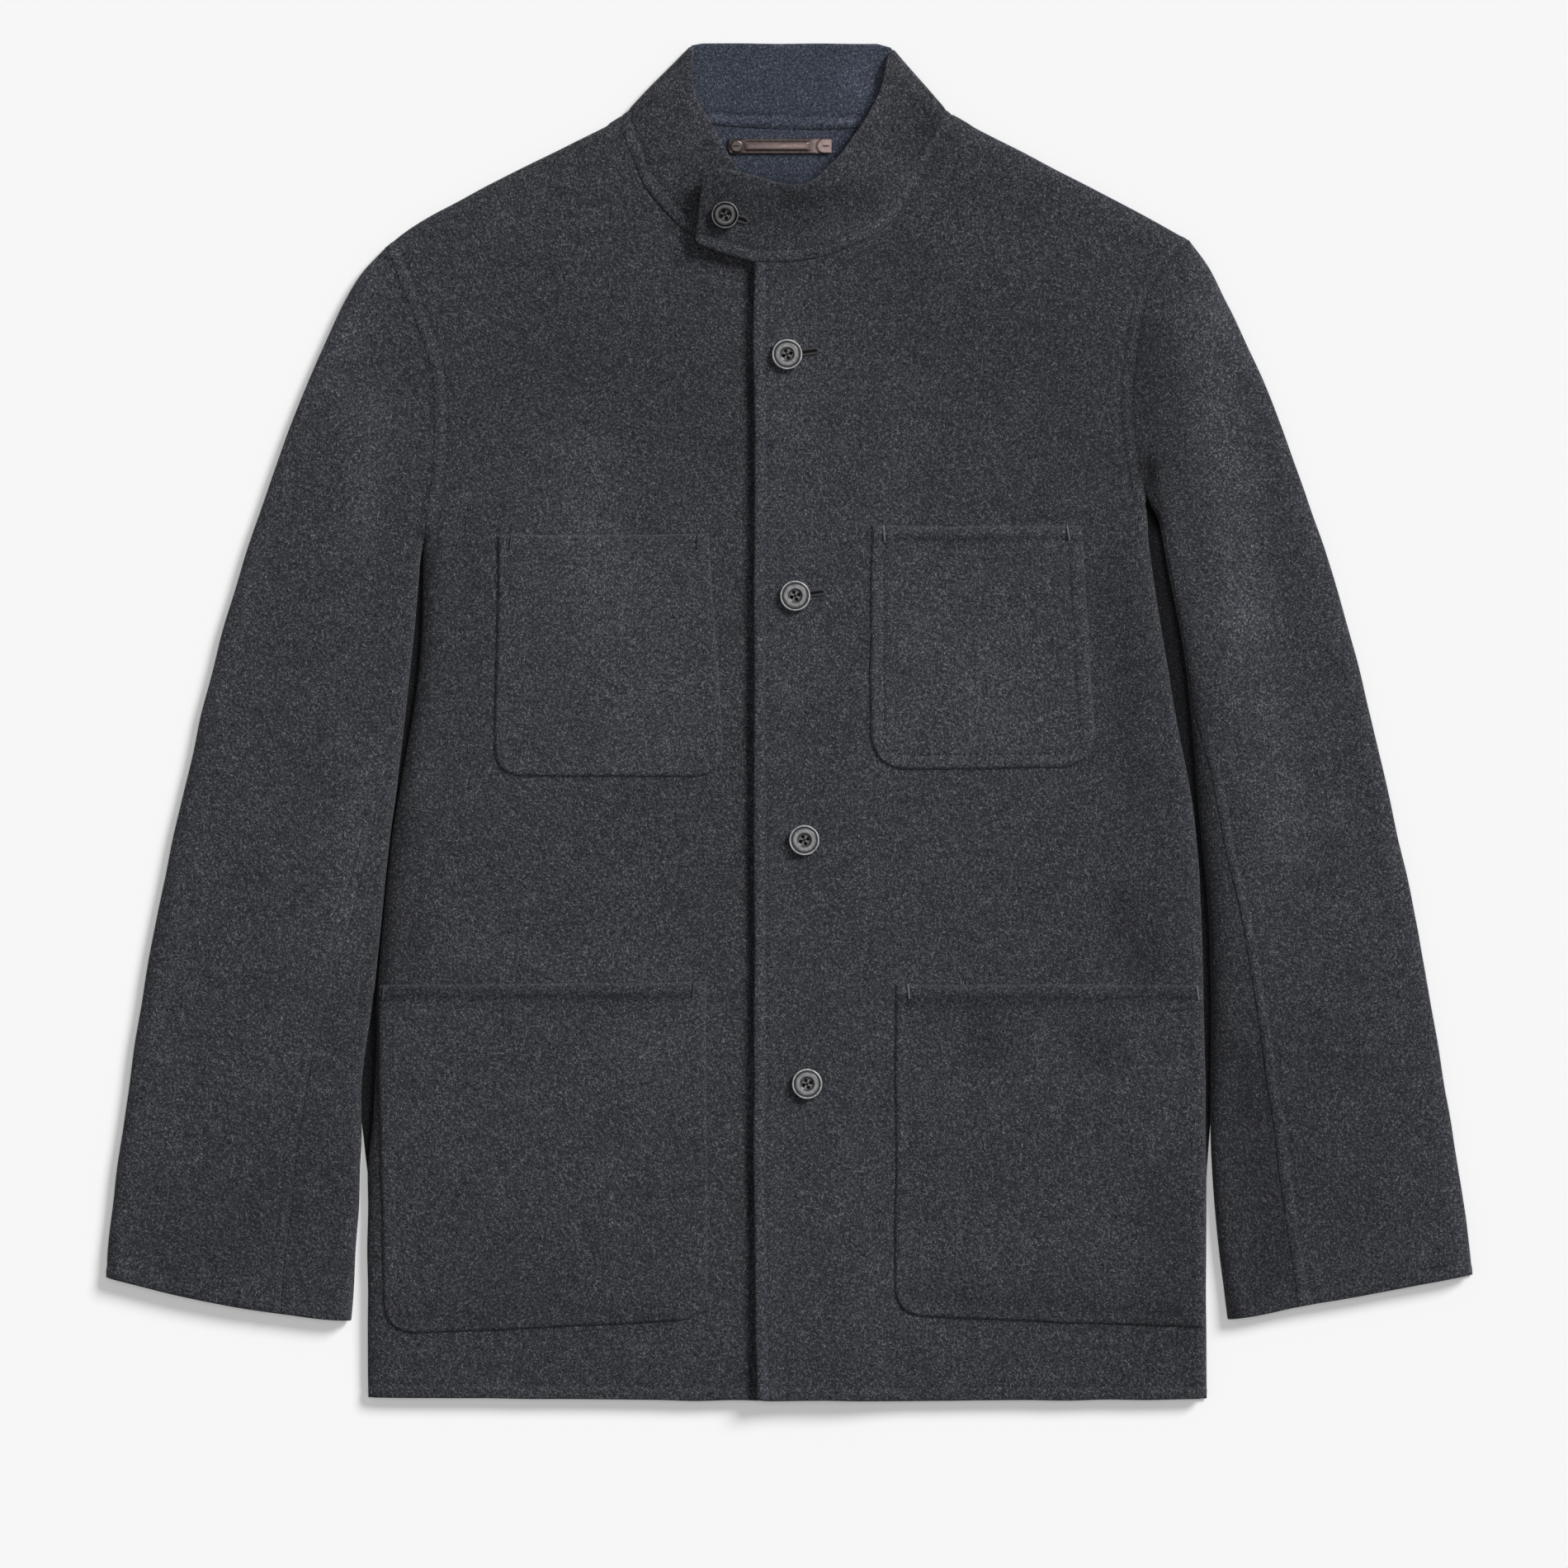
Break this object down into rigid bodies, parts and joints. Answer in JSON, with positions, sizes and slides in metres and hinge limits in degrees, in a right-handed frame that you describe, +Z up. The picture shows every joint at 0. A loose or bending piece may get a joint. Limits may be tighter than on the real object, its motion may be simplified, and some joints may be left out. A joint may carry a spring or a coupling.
{
  "type": "forestiere jacket",
  "caption": "Felted wool jacket laid flat on its back, with a buttoned stand collar, patch pockets, two-piece sleeves and a leather hanger loop inside the neck.",
  "frame": {"origin": "on the surface that the jacket lies on, under the middle of its outline", "axes": "+Z up from that surface, +Y from the hem to the collar, +X towards the wearer's left"},
  "size_m": [0.7944, 0.7896, 0.0187],
  "materials": {
    "wool": "felted, matt, charcoal melange",
    "leather": "smooth, semi-matt",
    "horn": "satin"
  },
  "bodies": {
    "root": {"back": "wool", "front_left": "wool", "front_right": "wool", "sleeve_left_top": "wool", "sleeve_left_under": "wool", "sleeve_right_top": "wool", "sleeve_right_under": "wool", "collar": "wool", "pocket_chest_left": "wool", "pocket_chest_right": "wool", "pocket_hip_left": "wool", "pocket_hip_right": "wool", "hanger_loop": "leather", "button_collar": "horn", "button_front_1": "horn", "button_front_2": "horn", "button_front_3": "horn", "button_front_4": "horn"}
  },
  "joints": []
}
